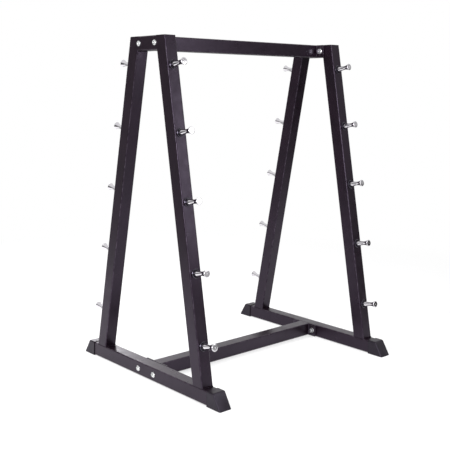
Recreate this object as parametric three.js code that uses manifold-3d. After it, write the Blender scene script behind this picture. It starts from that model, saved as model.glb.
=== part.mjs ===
// Barbell storage rack for ten fixed-weight barbells.
// Two A-shaped side frames stand on tube feet with rubber boots. Two crossbars are bolted between them.
// Each leg carries five hourglass bar holders on its outward face, and a bar lies across a pair of them.
// Millimetres, +Z up. X runs along the crossbars, -Y is the front. The origin is on the floor, at the centre.

import * as THREE from "three";
import { mergeVertices } from "three/addons/utils/BufferGeometryUtils.js";
import Module from "manifold-3d";

const wasm = await Module();
wasm.setup();

// Side frames
const frameHeight = 1476;
const framePitch = 1046;
const topHalfDepth = 116;
const footHalfDepth = 368;

// Square tube, used for the frames, the feet and the crossbars
const tubeSize = 60;
const tubeWall = 2;
const tubeBoreCornerRadius = 3;

// Boots, and the bare end of the foot tube between leg and boot
const bareTubeEnd = 28;
const bootSleeveLength = 32;
const bootWall = 2.5;
const bootNoseThickness = 6;
const bootNoseSpread = 40;
const bootNoseRadius = 4;

// Crossbar end plates
const endPlateThickness = 6;
const endPlateMargin = 22;
const endPlateCornerRadius = 6;
const ventHoleRadius = 5;

// Frame bolts, with a domed socket head, two washers and a nut
const boltOffset = 23;
const boltRadius = 6;
const boltHoleClearance = 0.5;
const boltWasherRadius = 12;
const boltWasherThickness = 2.5;
const boltHeadRadius = 10.5;
const boltHeadHeight = 6.6;
const boltSocketRadius = 4.6;
const boltSocketDepth = 4;
const boltNutCornerRadius = 11;
const boltNutHeight = 10;
const boltTailLength = 3;

// Where the bar holders sit down a leg, as shares of its length.
// The spaces grow downwards, where the barbells are larger.
const holderTopShare = 0.085;
const holderPitchShare = 0.194;
const holderPitchGrowthShare = 0.0038;

// Chrome spool of a bar holder, from its waist to both ends
const spoolWaistRadius = 9;
const spoolBaseFlare = 4.2;
const spoolEndFlare = 6.7;
const spoolBaseHeight = 9.4;
const spoolInnerTaper = 27.5;
const spoolOuterTaper = 26;
const spoolRimThickness = 2.5;
const spoolRimChamfer = 0.8;

// Stud of the spool, and the nut welded inside the leg that takes it
const studRadius = 5;
const studTailLength = 5;
const weldNutWall = 3.4;
const weldNutHeight = 8;

// Black cup washer between spool and leg
const cupFloorThickness = 4;
const cupHeight = 9;
const cupCollarWall = 3.6;
const cupFlangeWidth = 2.5;
const cupFlangeThickness = 3;

// Fits and cuts
const fitGap = 0.3;
const cutOverrun = 5;

// Counts
const holdersPerLeg = 5;
const cornerSteps = 2;
const noseSteps = 2;
const spoolSides = 14;
const cupSides = 12;
const boltSides = 12;
const holeSides = 8;
const flareSteps = 2;
const domeSteps = 2;
const hexSides = 6;

// Sizes and places that follow from the ones above
const tubeCornerRadius = tubeBoreCornerRadius + tubeWall;
const footCentreZ = bootWall + fitGap + tubeSize / 2;
const footTopZ = footCentreZ + tubeSize / 2;
const footTubeHalfLength = footHalfDepth + bareTubeEnd + bootSleeveLength;
const bridgeCentreZ = frameHeight - tubeSize / 2;
const legLean = Math.atan2(footHalfDepth - topHalfDepth, frameHeight - footTopZ);
const legLength = (frameHeight - footTopZ) / Math.cos(legLean);
const frameInnerX = framePitch / 2 - tubeSize / 2;
const frameOuterX = framePitch / 2 + tubeSize / 2;
const boltHalfSpacing = tubeSize / 2 + boltOffset;
const boltHoleRadius = boltRadius + boltHoleClearance;
const studHoleRadius = studRadius + fitGap;
const studReach = tubeWall + weldNutHeight + studTailLength;
const spoolSeat = fitGap + cupFloorThickness + fitGap;
const spoolBaseTop = spoolSeat + spoolBaseHeight;
const spoolWaistStandoff = spoolBaseTop + spoolInnerTaper;
const spoolBaseRadius = spoolWaistRadius + spoolBaseFlare;
const spoolEndRadius = spoolWaistRadius + spoolEndFlare;
const sides = [
  { name: "left", sign: -1 },
  { name: "right", sign: 1 },
];
const faces = [
  { name: "front", sign: -1 },
  { name: "back", sign: 1 },
];
const levels = [
  { name: "upper", z: bridgeCentreZ },
  { name: "lower", z: footCentreZ },
];

// Finishes
const powderCoat = { color: 0x2d2a30, roughness: 0.5, metalness: 0.2 };
const blackRubber = { color: 0x1e1d1f, roughness: 0.85, metalness: 0 };
const blackPlastic = { color: 0x121114, roughness: 0.4, metalness: 0 };
const chrome = { color: 0xdcdee2, roughness: 0.12, metalness: 1 };
const zincPlate = { color: 0xc4c7cc, roughness: 0.3, metalness: 1 };

// A closed mesh as a solid that can be joined and cut
function toSolid(geometry) {
  const bare = geometry.clone();
  bare.deleteAttribute("normal");
  bare.deleteAttribute("uv");
  const merged = mergeVertices(bare);
  const mesh = new wasm.Mesh({
    numProp: 3,
    vertProperties: new Float32Array(merged.attributes.position.array),
    triVerts: new Uint32Array(merged.index.array),
  });
  return new wasm.Manifold(mesh);
}

// A solid back as a mesh geometry with flat-shaded faces
function toGeometry(solid) {
  const mesh = solid.getMesh();
  const geometry = new THREE.BufferGeometry();
  geometry.setAttribute("position", new THREE.BufferAttribute(mesh.vertProperties, 3));
  geometry.setIndex(new THREE.BufferAttribute(mesh.triVerts, 1));
  const faceted = geometry.toNonIndexed();
  faceted.computeVertexNormals();
  return faceted;
}

// An outline of straight lines with its corners rounded
function roundedOutline(corners, radius) {
  const shape = new THREE.Shape();
  corners.forEach((corner, index) => {
    const before = corners[(index + corners.length - 1) % corners.length];
    const after = corners[(index + 1) % corners.length];
    const entry = corner.clone().sub(before).normalize().multiplyScalar(-radius).add(corner);
    const exit = after.clone().sub(corner).normalize().multiplyScalar(radius).add(corner);
    if (index === 0) shape.moveTo(entry.x, entry.y);
    else shape.lineTo(entry.x, entry.y);
    shape.quadraticCurveTo(corner.x, corner.y, exit.x, exit.y);
  });
  shape.closePath();
  return shape;
}

// A rectangle with round corners, centred on the origin
function roundedRectangle(width, height, radius) {
  const shape = new THREE.Shape();
  const right = width / 2;
  const top = height / 2;
  shape.moveTo(right, top - radius);
  shape.absarc(right - radius, top - radius, radius, 0, Math.PI / 2, false);
  shape.absarc(radius - right, top - radius, radius, Math.PI / 2, Math.PI, false);
  shape.absarc(radius - right, radius - top, radius, Math.PI, Math.PI * 1.5, false);
  shape.absarc(right - radius, radius - top, radius, Math.PI * 1.5, Math.PI * 2, false);
  shape.closePath();
  return shape;
}

// A shape pulled along Z from one height to another
function extrudeZ(shape, fromZ, toZ, curveSegments) {
  const geometry = new THREE.ExtrudeGeometry(shape, {
    depth: toZ - fromZ,
    bevelEnabled: false,
    curveSegments,
  });
  return geometry.translate(0, 0, fromZ);
}

// The outside or the bore of the square tube, along Z
function tubeSection(inset, fromZ, toZ) {
  const width = tubeSize - inset * 2;
  const shape = roundedRectangle(width, width, tubeCornerRadius - inset);
  return extrudeZ(shape, fromZ, toZ, cornerSteps);
}

// The space between two levels, wide enough to trim a whole frame
function trimSlab(lowZ, highZ) {
  const width = (tubeSize + cutOverrun) * 2;
  const depth = (footHalfDepth + tubeSize) * 2;
  const box = new THREE.BoxGeometry(width, depth, highZ - lowZ);
  return toSolid(box.translate(0, 0, (lowZ + highZ) / 2));
}

// A profile of radius and height turned round the Z axis, with its faces outwards
function turnZ(profile, segments) {
  const outward = THREE.ShapeUtils.area(profile) > 0 ? profile : [...profile].reverse();
  const geometry = new THREE.LatheGeometry(outward, segments);
  return geometry.rotateX(Math.PI / 2);
}

// A round or six-sided rod along Z
function rodZ(radius, fromZ, toZ, segments) {
  const geometry = new THREE.CylinderGeometry(radius, radius, toZ - fromZ, segments);
  return geometry.rotateX(Math.PI / 2).translate(0, 0, (fromZ + toZ) / 2);
}

// The corner radius of a polygon whose flats touch a circle
function cornerRadius(radius, segments) {
  return radius / Math.cos(Math.PI / segments);
}

// A hole's cutter along Z, faceted outside its circle so that the full radius stays clear
function cutterZ(radius, fromZ, toZ, segments) {
  return rodZ(cornerRadius(radius, segments), fromZ, toZ, segments);
}

// How far down the leg's outer face each holder sits, from the cut top
function holderDrops() {
  const drops = [holderTopShare * legLength];
  for (let index = 1; index < holdersPerLeg; index += 1) {
    const pitchShare = holderPitchShare + holderPitchGrowthShare * (index - 1);
    drops.push(drops[index - 1] + pitchShare * legLength);
  }
  return drops;
}

// The tilt and the place on a leg's outer face that bring Z square out of the leg
function holderPlace(faceSign, drop) {
  return {
    tilt: faceSign * (legLean - Math.PI / 2),
    y: faceSign * (topHalfDepth + drop * Math.sin(legLean)),
    z: frameHeight - drop * Math.cos(legLean),
  };
}

// One leg's outside or bore, leaning inwards and trimmed level at both ends
function legSolid(faceSign, inset, lowZ, highZ) {
  const section = tubeSection(inset, -tubeSize, legLength + tubeSize);
  section.rotateX(faceSign * legLean);
  const y = footHalfDepth - (tubeSize / 2) * Math.cos(legLean);
  const z = footTopZ - (tubeSize / 2) * Math.sin(legLean);
  section.translate(0, faceSign * y, z);
  return toSolid(section).intersect(trimSlab(lowZ, highZ));
}

// The bridge tube's outside or bore, from the middle of one leg to the middle of the other
function bridgeSolid(inset) {
  const reach = topHalfDepth - tubeSize / 2;
  const section = tubeSection(inset, -reach, reach);
  return toSolid(section.rotateX(Math.PI / 2).translate(0, 0, bridgeCentreZ));
}

// Two holes along X through a frame part or an end plate, one bolt spacing apart
function boltHoles(halfLength, z) {
  const holes = faces.map(({ sign }) => {
    const hole = cutterZ(boltHoleRadius, -halfLength, halfLength, holeSides);
    return toSolid(hole.rotateY(Math.PI / 2).translate(0, sign * boltHalfSpacing, z));
  });
  return holes[0].add(holes[1]);
}

// A side frame: two legs and a bridge welded into one, hollow, closed on top and open at the foot
function buildFrame() {
  const legLowZ = footTopZ + fitGap;
  const legs = faces.map(({ sign }) => legSolid(sign, 0, legLowZ, frameHeight));
  const bothLegs = legs[0].add(legs[1]);
  let frame = bothLegs.add(bridgeSolid(0)).subtract(bridgeSolid(tubeWall).subtract(bothLegs));
  for (const { sign } of faces) {
    frame = frame.subtract(legSolid(sign, tubeWall, legLowZ - cutOverrun, frameHeight - tubeWall));
  }
  for (const { sign } of faces) {
    for (const drop of holderDrops()) {
      const { nut, hole } = weldNut(sign, drop);
      frame = frame.add(nut).subtract(hole);
    }
  }
  return toGeometry(frame.subtract(boltHoles(tubeSize, bridgeCentreZ)));
}

// The nut inside a leg behind a holder, and the stud hole through it and the leg's wall
function weldNut(faceSign, drop) {
  const { tilt, y, z } = holderPlace(faceSign, drop);
  const lowEnd = -tubeWall - weldNutHeight;
  const nutRadius = cornerRadius(studHoleRadius, hexSides) + weldNutWall;
  const nut = rodZ(nutRadius, lowEnd, -tubeWall / 2, hexSides);
  const hole = cutterZ(studHoleRadius, lowEnd - cutOverrun, cutOverrun, hexSides);
  return {
    nut: toSolid(nut.rotateX(tilt).translate(0, y, z)),
    hole: toSolid(hole.rotateX(tilt).translate(0, y, z)),
  };
}

// A foot tube, open at both ends under its boots
function buildFootTube() {
  const outside = tubeSection(0, -footTubeHalfLength, footTubeHalfLength);
  const boreHalf = footTubeHalfLength + cutOverrun;
  const bore = tubeSection(tubeWall, -boreHalf, boreHalf);
  const lay = (section) => toSolid(section.rotateX(Math.PI / 2).translate(0, 0, footCentreZ));
  return toGeometry(lay(outside).subtract(lay(bore)).subtract(boltHoles(tubeSize, footCentreZ)));
}

// A boot: a sleeve over the tube's end with a solid wedge nose that reaches further at the floor
function buildBoot(faceSign) {
  const boreWidth = tubeSize + fitGap * 2;
  const width = boreWidth + bootWall * 2;
  const mouthY = footTubeHalfLength - bootSleeveLength;
  const noseTopY = footTubeHalfLength + fitGap + bootNoseThickness;
  const noseBaseY = noseTopY + bootNoseSpread;
  const heelY = mouthY - bootSleeveLength;
  const outline = roundedOutline(
    [
      new THREE.Vector2(heelY, 0),
      new THREE.Vector2(noseBaseY, 0),
      new THREE.Vector2(noseTopY, width),
      new THREE.Vector2(heelY, width),
    ],
    bootNoseRadius,
  );
  const wedge = extrudeZ(outline, -width / 2, width / 2, noseSteps);
  const outerShape = roundedRectangle(width, width, tubeCornerRadius);
  const sleeve = extrudeZ(outerShape, mouthY, noseBaseY, cornerSteps);
  const boreShape = roundedRectangle(boreWidth, boreWidth, tubeCornerRadius);
  const bore = extrudeZ(boreShape, mouthY - cutOverrun, footTubeHalfLength + fitGap, cornerSteps);
  for (const section of [sleeve, bore]) {
    section.rotateX(-Math.PI / 2).translate(0, 0, width / 2);
  }
  wedge.rotateX(Math.PI / 2).rotateZ(Math.PI / 2);
  const boot = toSolid(wedge).intersect(toSolid(sleeve)).subtract(toSolid(bore));
  const geometry = toGeometry(boot);
  return faceSign > 0 ? geometry : geometry.rotateZ(Math.PI);
}

// A crossbar: a tube along X with a bolted plate welded on each end
function buildCrossbar() {
  const plateOuterX = frameInnerX - fitGap;
  const plateInnerX = plateOuterX - endPlateThickness;
  const plateMidX = (plateOuterX + plateInnerX) / 2;
  const layX = (geometry) => toSolid(geometry.rotateY(Math.PI / 2));
  let bar = layX(tubeSection(0, -plateMidX, plateMidX));
  const plateLength = (boltHalfSpacing + endPlateMargin) * 2;
  const plateShape = roundedRectangle(tubeSize, plateLength, endPlateCornerRadius);
  for (const { sign } of sides) {
    const near = Math.min(sign * plateInnerX, sign * plateOuterX);
    bar = bar.add(layX(extrudeZ(plateShape, near, near + endPlateThickness, cornerSteps)));
  }
  bar = bar.subtract(layX(tubeSection(tubeWall, -plateInnerX, plateInnerX)));
  const vent = layX(cutterZ(ventHoleRadius, -frameInnerX, frameInnerX, holeSides));
  return toGeometry(bar.subtract(vent).subtract(boltHoles(frameInnerX, 0)));
}

// A frame bolt along Z: its head stands on the frame's outer face at zero and its nut behind the end plate
function buildBolt() {
  const headSeat = -fitGap - boltWasherThickness;
  const grip = tubeSize + fitGap + endPlateThickness + fitGap;
  const nutEnd = grip + boltWasherThickness + boltNutHeight;
  const profile = [new THREE.Vector2(0, headSeat - boltHeadHeight)];
  for (let step = 1; step <= domeSteps; step += 1) {
    const angle = (step / domeSteps) * (Math.PI / 2);
    const height = boltHeadHeight * Math.cos(angle);
    profile.push(new THREE.Vector2(boltHeadRadius * Math.sin(angle), headSeat - height));
  }
  profile.push(
    new THREE.Vector2(boltWasherRadius, headSeat),
    new THREE.Vector2(boltWasherRadius, -fitGap),
    new THREE.Vector2(boltRadius, -fitGap),
    new THREE.Vector2(boltRadius, grip),
    new THREE.Vector2(boltWasherRadius, grip),
    new THREE.Vector2(boltWasherRadius, grip + boltWasherThickness),
    new THREE.Vector2(boltRadius, grip + boltWasherThickness),
    new THREE.Vector2(boltRadius, nutEnd + boltTailLength),
    new THREE.Vector2(0, nutEnd + boltTailLength),
  );
  const turned = toSolid(turnZ(profile, boltSides));
  const nut = toSolid(rodZ(boltNutCornerRadius, grip + boltWasherThickness / 2, nutEnd, hexSides));
  const socketFloor = headSeat - boltHeadHeight + boltSocketDepth;
  const socketTop = headSeat - boltHeadHeight - cutOverrun;
  const socket = toSolid(rodZ(boltSocketRadius, socketTop, socketFloor, hexSides));
  return toGeometry(turned.add(nut).subtract(socket));
}

// Points of the spool's hourglass from beside the waist to one end, on a hyperboloid
function flarePoints(endRadius, taper) {
  const slope = Math.sqrt(endRadius ** 2 - spoolWaistRadius ** 2) / taper;
  const points = [];
  for (let step = 1; step <= flareSteps; step += 1) {
    const along = (taper * step) / flareSteps;
    const radius = Math.hypot(spoolWaistRadius, slope * along);
    points.push(new THREE.Vector2(radius, spoolWaistStandoff + along));
  }
  return points;
}

// A chrome spool with the stud that holds it to the leg. Zero is the leg's outer face.
function buildSpool() {
  const rimStart = spoolWaistStandoff + spoolOuterTaper;
  const endFace = rimStart + spoolRimThickness;
  const profile = [
    new THREE.Vector2(0, -studReach),
    new THREE.Vector2(studRadius, -studReach),
    new THREE.Vector2(studRadius, spoolSeat),
    new THREE.Vector2(spoolBaseRadius, spoolSeat),
    ...flarePoints(spoolBaseRadius, -spoolInnerTaper).reverse(),
    new THREE.Vector2(spoolWaistRadius, spoolWaistStandoff),
    ...flarePoints(spoolEndRadius, spoolOuterTaper),
    new THREE.Vector2(spoolEndRadius, endFace - spoolRimChamfer),
    new THREE.Vector2(spoolEndRadius - spoolRimChamfer, endFace),
    new THREE.Vector2(0, endFace),
  ];
  return toGeometry(toSolid(turnZ(profile, spoolSides)));
}

// A cup washer: a flange on the leg, a collar, and a recess that the spool's base sits in
function buildCup() {
  const boreRadius = cornerRadius(studHoleRadius, cupSides);
  const recessRadius = cornerRadius(spoolBaseRadius + fitGap, cupSides);
  const collarRadius = recessRadius + cupCollarWall;
  const flangeRadius = collarRadius + cupFlangeWidth;
  const base = fitGap;
  const floor = fitGap + cupFloorThickness;
  const flangeTop = fitGap + cupFlangeThickness;
  const rim = fitGap + cupHeight;
  const profile = [
    new THREE.Vector2(boreRadius, base),
    new THREE.Vector2(flangeRadius, base),
    new THREE.Vector2(flangeRadius, flangeTop),
    new THREE.Vector2(collarRadius, flangeTop),
    new THREE.Vector2(collarRadius, rim),
    new THREE.Vector2(recessRadius, rim),
    new THREE.Vector2(recessRadius, floor),
    new THREE.Vector2(boreRadius, floor),
    new THREE.Vector2(boreRadius, base),
  ];
  return toGeometry(toSolid(turnZ(profile, cupSides)));
}

// The assembly: every piece in its own named mesh with its own material
const rack = new THREE.Group();

function addPiece(name, geometry, finish) {
  const mesh = new THREE.Mesh(geometry, new THREE.MeshStandardMaterial(finish));
  mesh.name = name;
  rack.add(mesh);
  return mesh;
}

function addFrames() {
  const frameGeometry = buildFrame();
  const footGeometry = buildFootTube();
  for (const { name, sign } of sides) {
    const x = (sign * framePitch) / 2;
    addPiece(`${name}_frame`, frameGeometry, powderCoat).position.x = x;
    addPiece(`${name}_foot_tube`, footGeometry, powderCoat).position.x = x;
    for (const face of faces) {
      addPiece(`${name}_${face.name}_boot`, buildBoot(face.sign), blackRubber).position.x = x;
    }
  }
}

function addCrossbars() {
  const barGeometry = buildCrossbar();
  const boltGeometry = buildBolt();
  for (const level of levels) {
    addPiece(`${level.name}_crossbar`, barGeometry, powderCoat).position.z = level.z;
    for (const side of sides) {
      for (const face of faces) {
        const bolt = addPiece(`${side.name}_${level.name}_${face.name}_bolt`, boltGeometry, zincPlate);
        bolt.rotation.y = (-side.sign * Math.PI) / 2;
        bolt.position.set(side.sign * frameOuterX, face.sign * boltHalfSpacing, level.z);
      }
    }
  }
}

function addHolders() {
  const spoolGeometry = buildSpool();
  const cupGeometry = buildCup();
  for (const side of sides) {
    for (const face of faces) {
      holderDrops().forEach((drop, index) => {
        const place = `${side.name}_${face.name}`;
        const spool = addPiece(`${place}_spool_${index + 1}`, spoolGeometry, chrome);
        const cup = addPiece(`${place}_cup_${index + 1}`, cupGeometry, blackPlastic);
        for (const piece of [spool, cup]) {
          const { tilt, y, z } = holderPlace(face.sign, drop);
          piece.rotation.x = tilt;
          piece.position.set((side.sign * framePitch) / 2, y, z);
        }
      });
    }
  }
}

addFrames();
addCrossbars();
addHolders();

export default rack;
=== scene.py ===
"""Barbell storage rack: finished surfaces, materials, lights and camera.

Every measure is in metres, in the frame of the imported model: +X runs along the crossbars, -Y is the
front, and the floor is at zero height. Each piece stands in the place of the solid it is named after.
"""

import logging
import math
from collections.abc import Callable, Iterator, Sequence
from dataclasses import dataclass, field
from enum import Enum

import bmesh
import bpy
import numpy as np
from mathutils import Matrix, Vector
from numpy.typing import NDArray

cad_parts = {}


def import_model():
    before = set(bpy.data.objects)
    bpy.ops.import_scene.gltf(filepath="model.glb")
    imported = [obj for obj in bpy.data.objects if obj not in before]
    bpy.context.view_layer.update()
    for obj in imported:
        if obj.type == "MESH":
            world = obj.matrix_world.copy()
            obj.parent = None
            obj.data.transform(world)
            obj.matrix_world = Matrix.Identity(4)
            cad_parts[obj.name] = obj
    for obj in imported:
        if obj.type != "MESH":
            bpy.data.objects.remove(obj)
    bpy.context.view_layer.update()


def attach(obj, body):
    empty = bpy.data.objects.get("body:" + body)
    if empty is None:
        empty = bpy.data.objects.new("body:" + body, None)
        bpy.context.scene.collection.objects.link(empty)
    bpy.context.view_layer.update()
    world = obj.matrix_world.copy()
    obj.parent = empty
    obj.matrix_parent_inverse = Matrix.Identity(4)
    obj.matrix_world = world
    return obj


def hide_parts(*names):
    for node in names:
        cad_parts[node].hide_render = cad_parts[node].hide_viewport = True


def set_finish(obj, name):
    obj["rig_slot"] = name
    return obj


LOG = logging.getLogger("barbell_rack")
BODY = "root"
# Surface attribute: scuffed edges above zero, which on the coat are also a painted highlight; painted shade
# below zero.
WEAR_LIGHT_SHADE_ATTRIBUTE = "edge_wear"
# The attribute's value for painted shade: the finish mirrors less there, darkening welds, boot mouths and
# cups.
PAINTED_SHADE = -1.0

Points = NDArray[np.float64]
Colour = tuple[float, float, float]
Place = tuple[float, float, float]
Span = tuple[float, float]
Socket = bpy.types.NodeSocket
Piece = bpy.types.Object


class Half(Enum):
    """One half of the rack, by the sign of a coordinate."""

    @property
    def label(self) -> str:
        """Its name in the names of pieces."""
        return self.name.lower()


class Side(Half):
    """The two side frames, by the sign of their X."""

    LEFT = -1
    RIGHT = 1


class Face(Half):
    """The front and the back of a side frame, by the sign of their Y."""

    FRONT = -1
    BACK = 1


class Level(Enum):
    """The heights of the two crossbars."""

    UPPER = "upper"
    LOWER = "lower"


class Slot(Enum):
    """The finishes of the rack."""

    POWDER_COAT = "powder_coat"
    BOOT_RUBBER = "boot_rubber"
    CUP_PLASTIC = "cup_plastic"
    CHROME = "chrome_spool"
    ZINC = "zinc_bolt"


class Space(Enum):
    """Where a pattern takes its coordinates from."""

    OBJECT = "Object"
    SURFACE = "UV"


def stacked(*coordinates: Points | float) -> Points:
    """Points from their coordinates, each of which is given as far as it changes."""
    return np.stack(np.broadcast_arrays(*coordinates), -1)


def around(columns: int) -> Points:
    """Even angles all round."""
    return np.linspace(0.0, 2 * np.pi, columns, endpoint=False)


def quarter_round(radius: float, points: int) -> tuple[Points, Points]:
    """A rounded edge: radius (1 - sin a) short of its end, and drawn in by radius (1 - cos a)."""
    angle = np.linspace(0.0, np.pi / 2, points)
    return radius * (1 - np.sin(angle)), radius * (1 - np.cos(angle))


@dataclass(frozen=True)
class Outline:
    """A closed line in a plane, with the share of scuffed edge at each of its points, which on the coat is
    also a painted highlight.
    """

    points: Points
    wear: Points

    def shrunk(self, insets: Points, width: float) -> Points:
        """A copy drawn in by each inset, as (insets, points, 2): points (1 - 2 inset / width)."""
        return self.points * (1 - 2 * insets[:, None, None] / width)


@dataclass(frozen=True)
class Shell:
    """A closed surface laid out as rings of points.

    Attributes:
        rings: The points, as (rings, points around, 3).
        looped: True where the last ring joins the first, as on a hollow tube.
        wear: The share of scuffed edge at each point, which on the coat is also a painted highlight; below
            zero where painted shade dims the shine.
    """

    rings: Points
    looped: bool = False
    wear: Points | float = 0.0

    def corners(self) -> tuple[NDArray[np.int64], NDArray[np.int64]]:
        """The corners of the faces between neighbouring rings, in order round each face.

        Returns:
            Their ring numbers and their column numbers, each as (faces, 4).
        """
        rows, columns = self.rings.shape[:2]
        row, column = np.indices((rows if self.looped else rows - 1, columns)).reshape(2, -1, 1)
        return row + [0, 0, 1, 1], column + [0, 1, 1, 0]

    def quads(self, first: int) -> NDArray[np.int64]:
        """The faces' point numbers, as (faces, 4), where the shell's first point has that number."""
        (rows, columns), (row, column) = self.rings.shape[:2], self.corners()
        return first + row % rows * columns + column % columns

    def surface_places(self) -> Points:
        """A place on the surface for every corner of the faces.

        Returns:
            The share of the way round a ring, and the mean distance from the first ring.
        """
        steps = np.linalg.norm(np.roll(self.rings, -1, 0) - self.rings, axis=2).mean(1)
        along = np.concatenate([[0.0], np.cumsum(steps)])
        row, column = self.corners()
        return stacked(column / self.rings.shape[1], along[row]).reshape(-1, 2)


def make_piece(name: str, shells: Sequence[Shell]) -> Piece:
    """Makes one mesh object of one or more closed shells, with its faces outwards.

    An open shell is closed with a flat face on its first and its last ring.

    Args:
        name: The piece's name.
        shells: The surfaces that it is made of.

    Returns:
        The new object, at the origin.
    """
    faces: list[list[int]] = []
    places: list[Points] = []
    first = 0
    for shell in shells:
        rows, columns = shell.rings.shape[:2]
        faces += shell.quads(first).tolist()
        places.append(shell.surface_places())
        if not shell.looped:
            ring = np.arange(columns)
            faces += [(first + ring[::-1]).tolist(), (first + (rows - 1) * columns + ring).tolist()]
            places.append(np.zeros((2 * columns, 2)))
        first += rows * columns
    mesh = bpy.data.meshes.new(name)
    mesh.from_pydata(np.concatenate([s.rings.reshape(-1, 3) for s in shells]).tolist(), [], faces)
    layer = mesh.uv_layers.new(name="Surface")
    layer.data.foreach_set("uv", np.concatenate(places).astype(np.float32).ravel())
    # Scuffed edges and painted highlight above zero, painted shade below zero.
    wear = mesh.attributes.new(WEAR_LIGHT_SHADE_ATTRIBUTE, "FLOAT", "POINT")
    shares = [np.broadcast_to(s.wear, s.rings.shape[:2]).ravel() for s in shells]
    wear.data.foreach_set("value", np.concatenate(shares).astype(np.float32))
    work = bmesh.new()
    work.from_mesh(mesh)
    bmesh.ops.recalc_face_normals(work, faces=work.faces)
    work.to_mesh(mesh)
    work.free()
    mesh.polygons.foreach_set("use_smooth", np.ones(len(mesh.polygons), bool))
    piece = bpy.data.objects.new(name, mesh)
    bpy.context.scene.collection.objects.link(piece)
    return piece


def rounded_outline(width: float, height: float, radius: float, low_radius: float | None = None) -> Outline:
    """A rectangle with round corners, centred on zero.

    Each corner is a quarter circle, corner centre + radius (cos a, sin a), and each flat keeps a point
    close to each of its ends, so that smooth shading leaves it flat. The corners' share of scuffed edge is
    sin 2a; on the coat it pales them, partly as a painted highlight.

    Args:
        width: Size along the first direction.
        height: Size along the second direction.
        radius: Corner radius.
        low_radius: The radius of the two lower corners, where it differs.

    Returns:
        The outline, anticlockwise.
    """
    corner_faces, lead_share = 7, 0.012
    flat_lead = np.full((4, 1), -lead_share * min(width, height))
    angles = np.linspace(0.0, np.pi / 2, corner_faces + 1)
    low = radius if low_radius is None else low_radius
    radii = np.array([radius, radius, low, low])[:, None]
    across = np.concatenate([radii, radii * np.cos(angles), flat_lead], 1)
    up = np.concatenate([flat_lead, radii * np.sin(angles), radii], 1)
    turns = np.arange(4) * np.pi / 2
    turn = np.stack([np.cos(turns), -np.sin(turns), np.sin(turns), np.cos(turns)], 1).reshape(4, 2, 2)
    signs = np.array([[1, 1], [-1, 1], [-1, -1], [1, -1]])
    centres = signs * (np.array([width / 2, height / 2]) - radii)
    points = centres[:, None] + np.einsum("kij,knj->kni", turn, np.stack([across, up], -1))
    wear = np.concatenate([[0.0], np.sin(2 * angles), [0.0]])
    return Outline(points.reshape(-1, 2), np.tile(wear, 4))


def softened(corners: Sequence[Span], radius: float | Sequence[float], steps: int) -> Points:
    """Rounds the corners of a closed line: (1 - t)^2 start + 2 t (1 - t) corner + t^2 end.

    Start and end lie one radius from the corner along its two edges, or less on a short edge. A point
    just beyond each keeps the straight parts straight under smooth shading.

    Args:
        corners: The line's corners.
        radius: How far from each corner the rounding starts, as one number or one for each corner.
        steps: Parts of each rounding.

    Returns:
        Points of the rounded line, as (points, 2).
    """
    beyond, most_share = 1.15, 0.48
    line = np.asarray(corners, float)
    reach = np.broadcast_to(radius, len(line))

    def toward(turn: int, share: float) -> Points:
        """Points on the way to a neighbour.

        Args:
            turn: How many places before each corner its neighbour stands.
            share: How far the points go, as a share of the radius.

        Returns:
            One point for each corner.
        """
        step = np.roll(line, turn, 0) - line
        way = np.minimum(reach * share / np.linalg.norm(step, axis=1), most_share)
        return (line + step * way[:, None])[:, None]

    t = np.linspace(0.0, 1.0, steps + 1)[None, :, None]
    curve = (1 - t) ** 2 * toward(1, 1.0) + 2 * t * (1 - t) * line[:, None] + t**2 * toward(-1, 1.0)
    return np.concatenate([toward(1, beyond), curve, toward(-1, beyond)], 1).reshape(-1, 2)


def turned(profile: Sequence[tuple[Points | float, Points | float]] | Points, columns: int) -> Points:
    """Rings round the Z axis: (radius cos a, radius sin a, height).

    Args:
        profile: Radius and height of each ring, either as one number or as one for each column.
        columns: Points around each ring.

    Returns:
        The rings, as (rings, columns, 3).
    """
    angle = around(columns)
    radius, height = (np.stack([np.broadcast_to(row[k], columns) for row in profile]) for k in range(2))
    return stacked(radius * np.cos(angle), radius * np.sin(angle), height)


def resampled_loop(outline: Outline, spacing: float) -> Points:
    """A closed line laid out again with even spaces, by its length along the line.

    Args:
        outline: The line.
        spacing: The wanted space between points.

    Returns:
        The even points, as (points, 2).
    """
    loop = np.concatenate([outline.points, outline.points[:1]])
    along = np.concatenate([[0.0], np.cumsum(np.linalg.norm(np.diff(loop, axis=0), axis=1))])
    places = np.linspace(0.0, along[-1], int(round(along[-1] / spacing)), endpoint=False)
    return stacked(*(np.interp(places, along, column) for column in loop.T))


@dataclass(frozen=True)
class Placing:
    """Where a piece that is worked out on its own axes stands: its zero, and its X, Y and Z."""

    origin: Place
    axes: tuple[Place, Place, Place]

    def carry(self, points: Points) -> Points:
        """Turns and moves points: origin + x X + y Y + z Z."""
        return np.asarray(self.origin) + points @ np.asarray(self.axes)


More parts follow.
